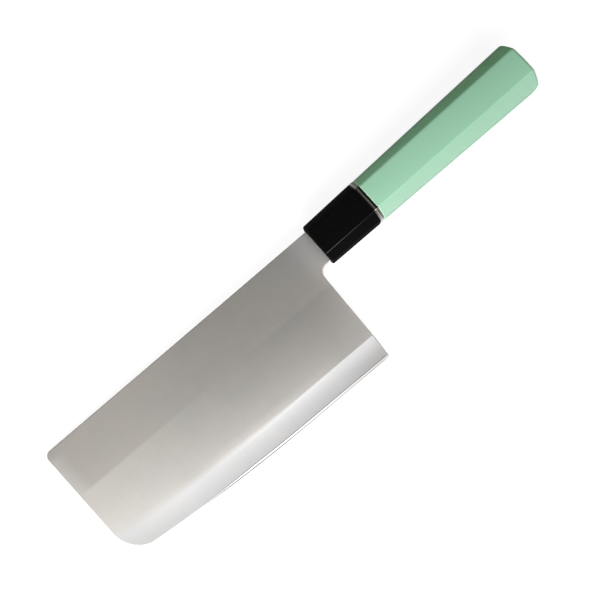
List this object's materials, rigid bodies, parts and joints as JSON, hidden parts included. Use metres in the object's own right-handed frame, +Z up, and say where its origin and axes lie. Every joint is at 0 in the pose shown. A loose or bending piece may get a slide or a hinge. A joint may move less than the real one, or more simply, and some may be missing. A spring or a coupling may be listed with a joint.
{
  "type": "kitchen cleaver",
  "caption": "Thin-bladed kitchen cleaver: wide double-bevelled steel blade with a rounded toe, black ferrule, metal spacer and tapered octagonal mint-green handle.",
  "frame": {"origin": "middle of the knife's length and width, at the lowest point of the handle as the knife lies flat on its side", "axes": "+X along the handle's axis towards the butt, +Y towards the spine, +Z up, square to the blade's middle plane; the cutting edge is on the -Y side"},
  "size_m": [0.3104, 0.079, 0.024],
  "materials": {
    "satin_steel": "satin stainless steel, fine lines along the blade",
    "black_ferrule": "polished black composite",
    "nickel_silver": "polished nickel silver",
    "mint_lacquer": "semi-gloss mint-green lacquer",
    "dowel_wood": "bare hardwood",
    "dark_resin": "set epoxy"
  },
  "bodies": {
    "root": {"blade": "satin_steel", "ferrule": "black_ferrule", "spacer_ring": "nickel_silver", "handle_body": "mint_lacquer", "dowel": "dowel_wood", "tang_adhesive": "dark_resin"}
  },
  "joints": []
}
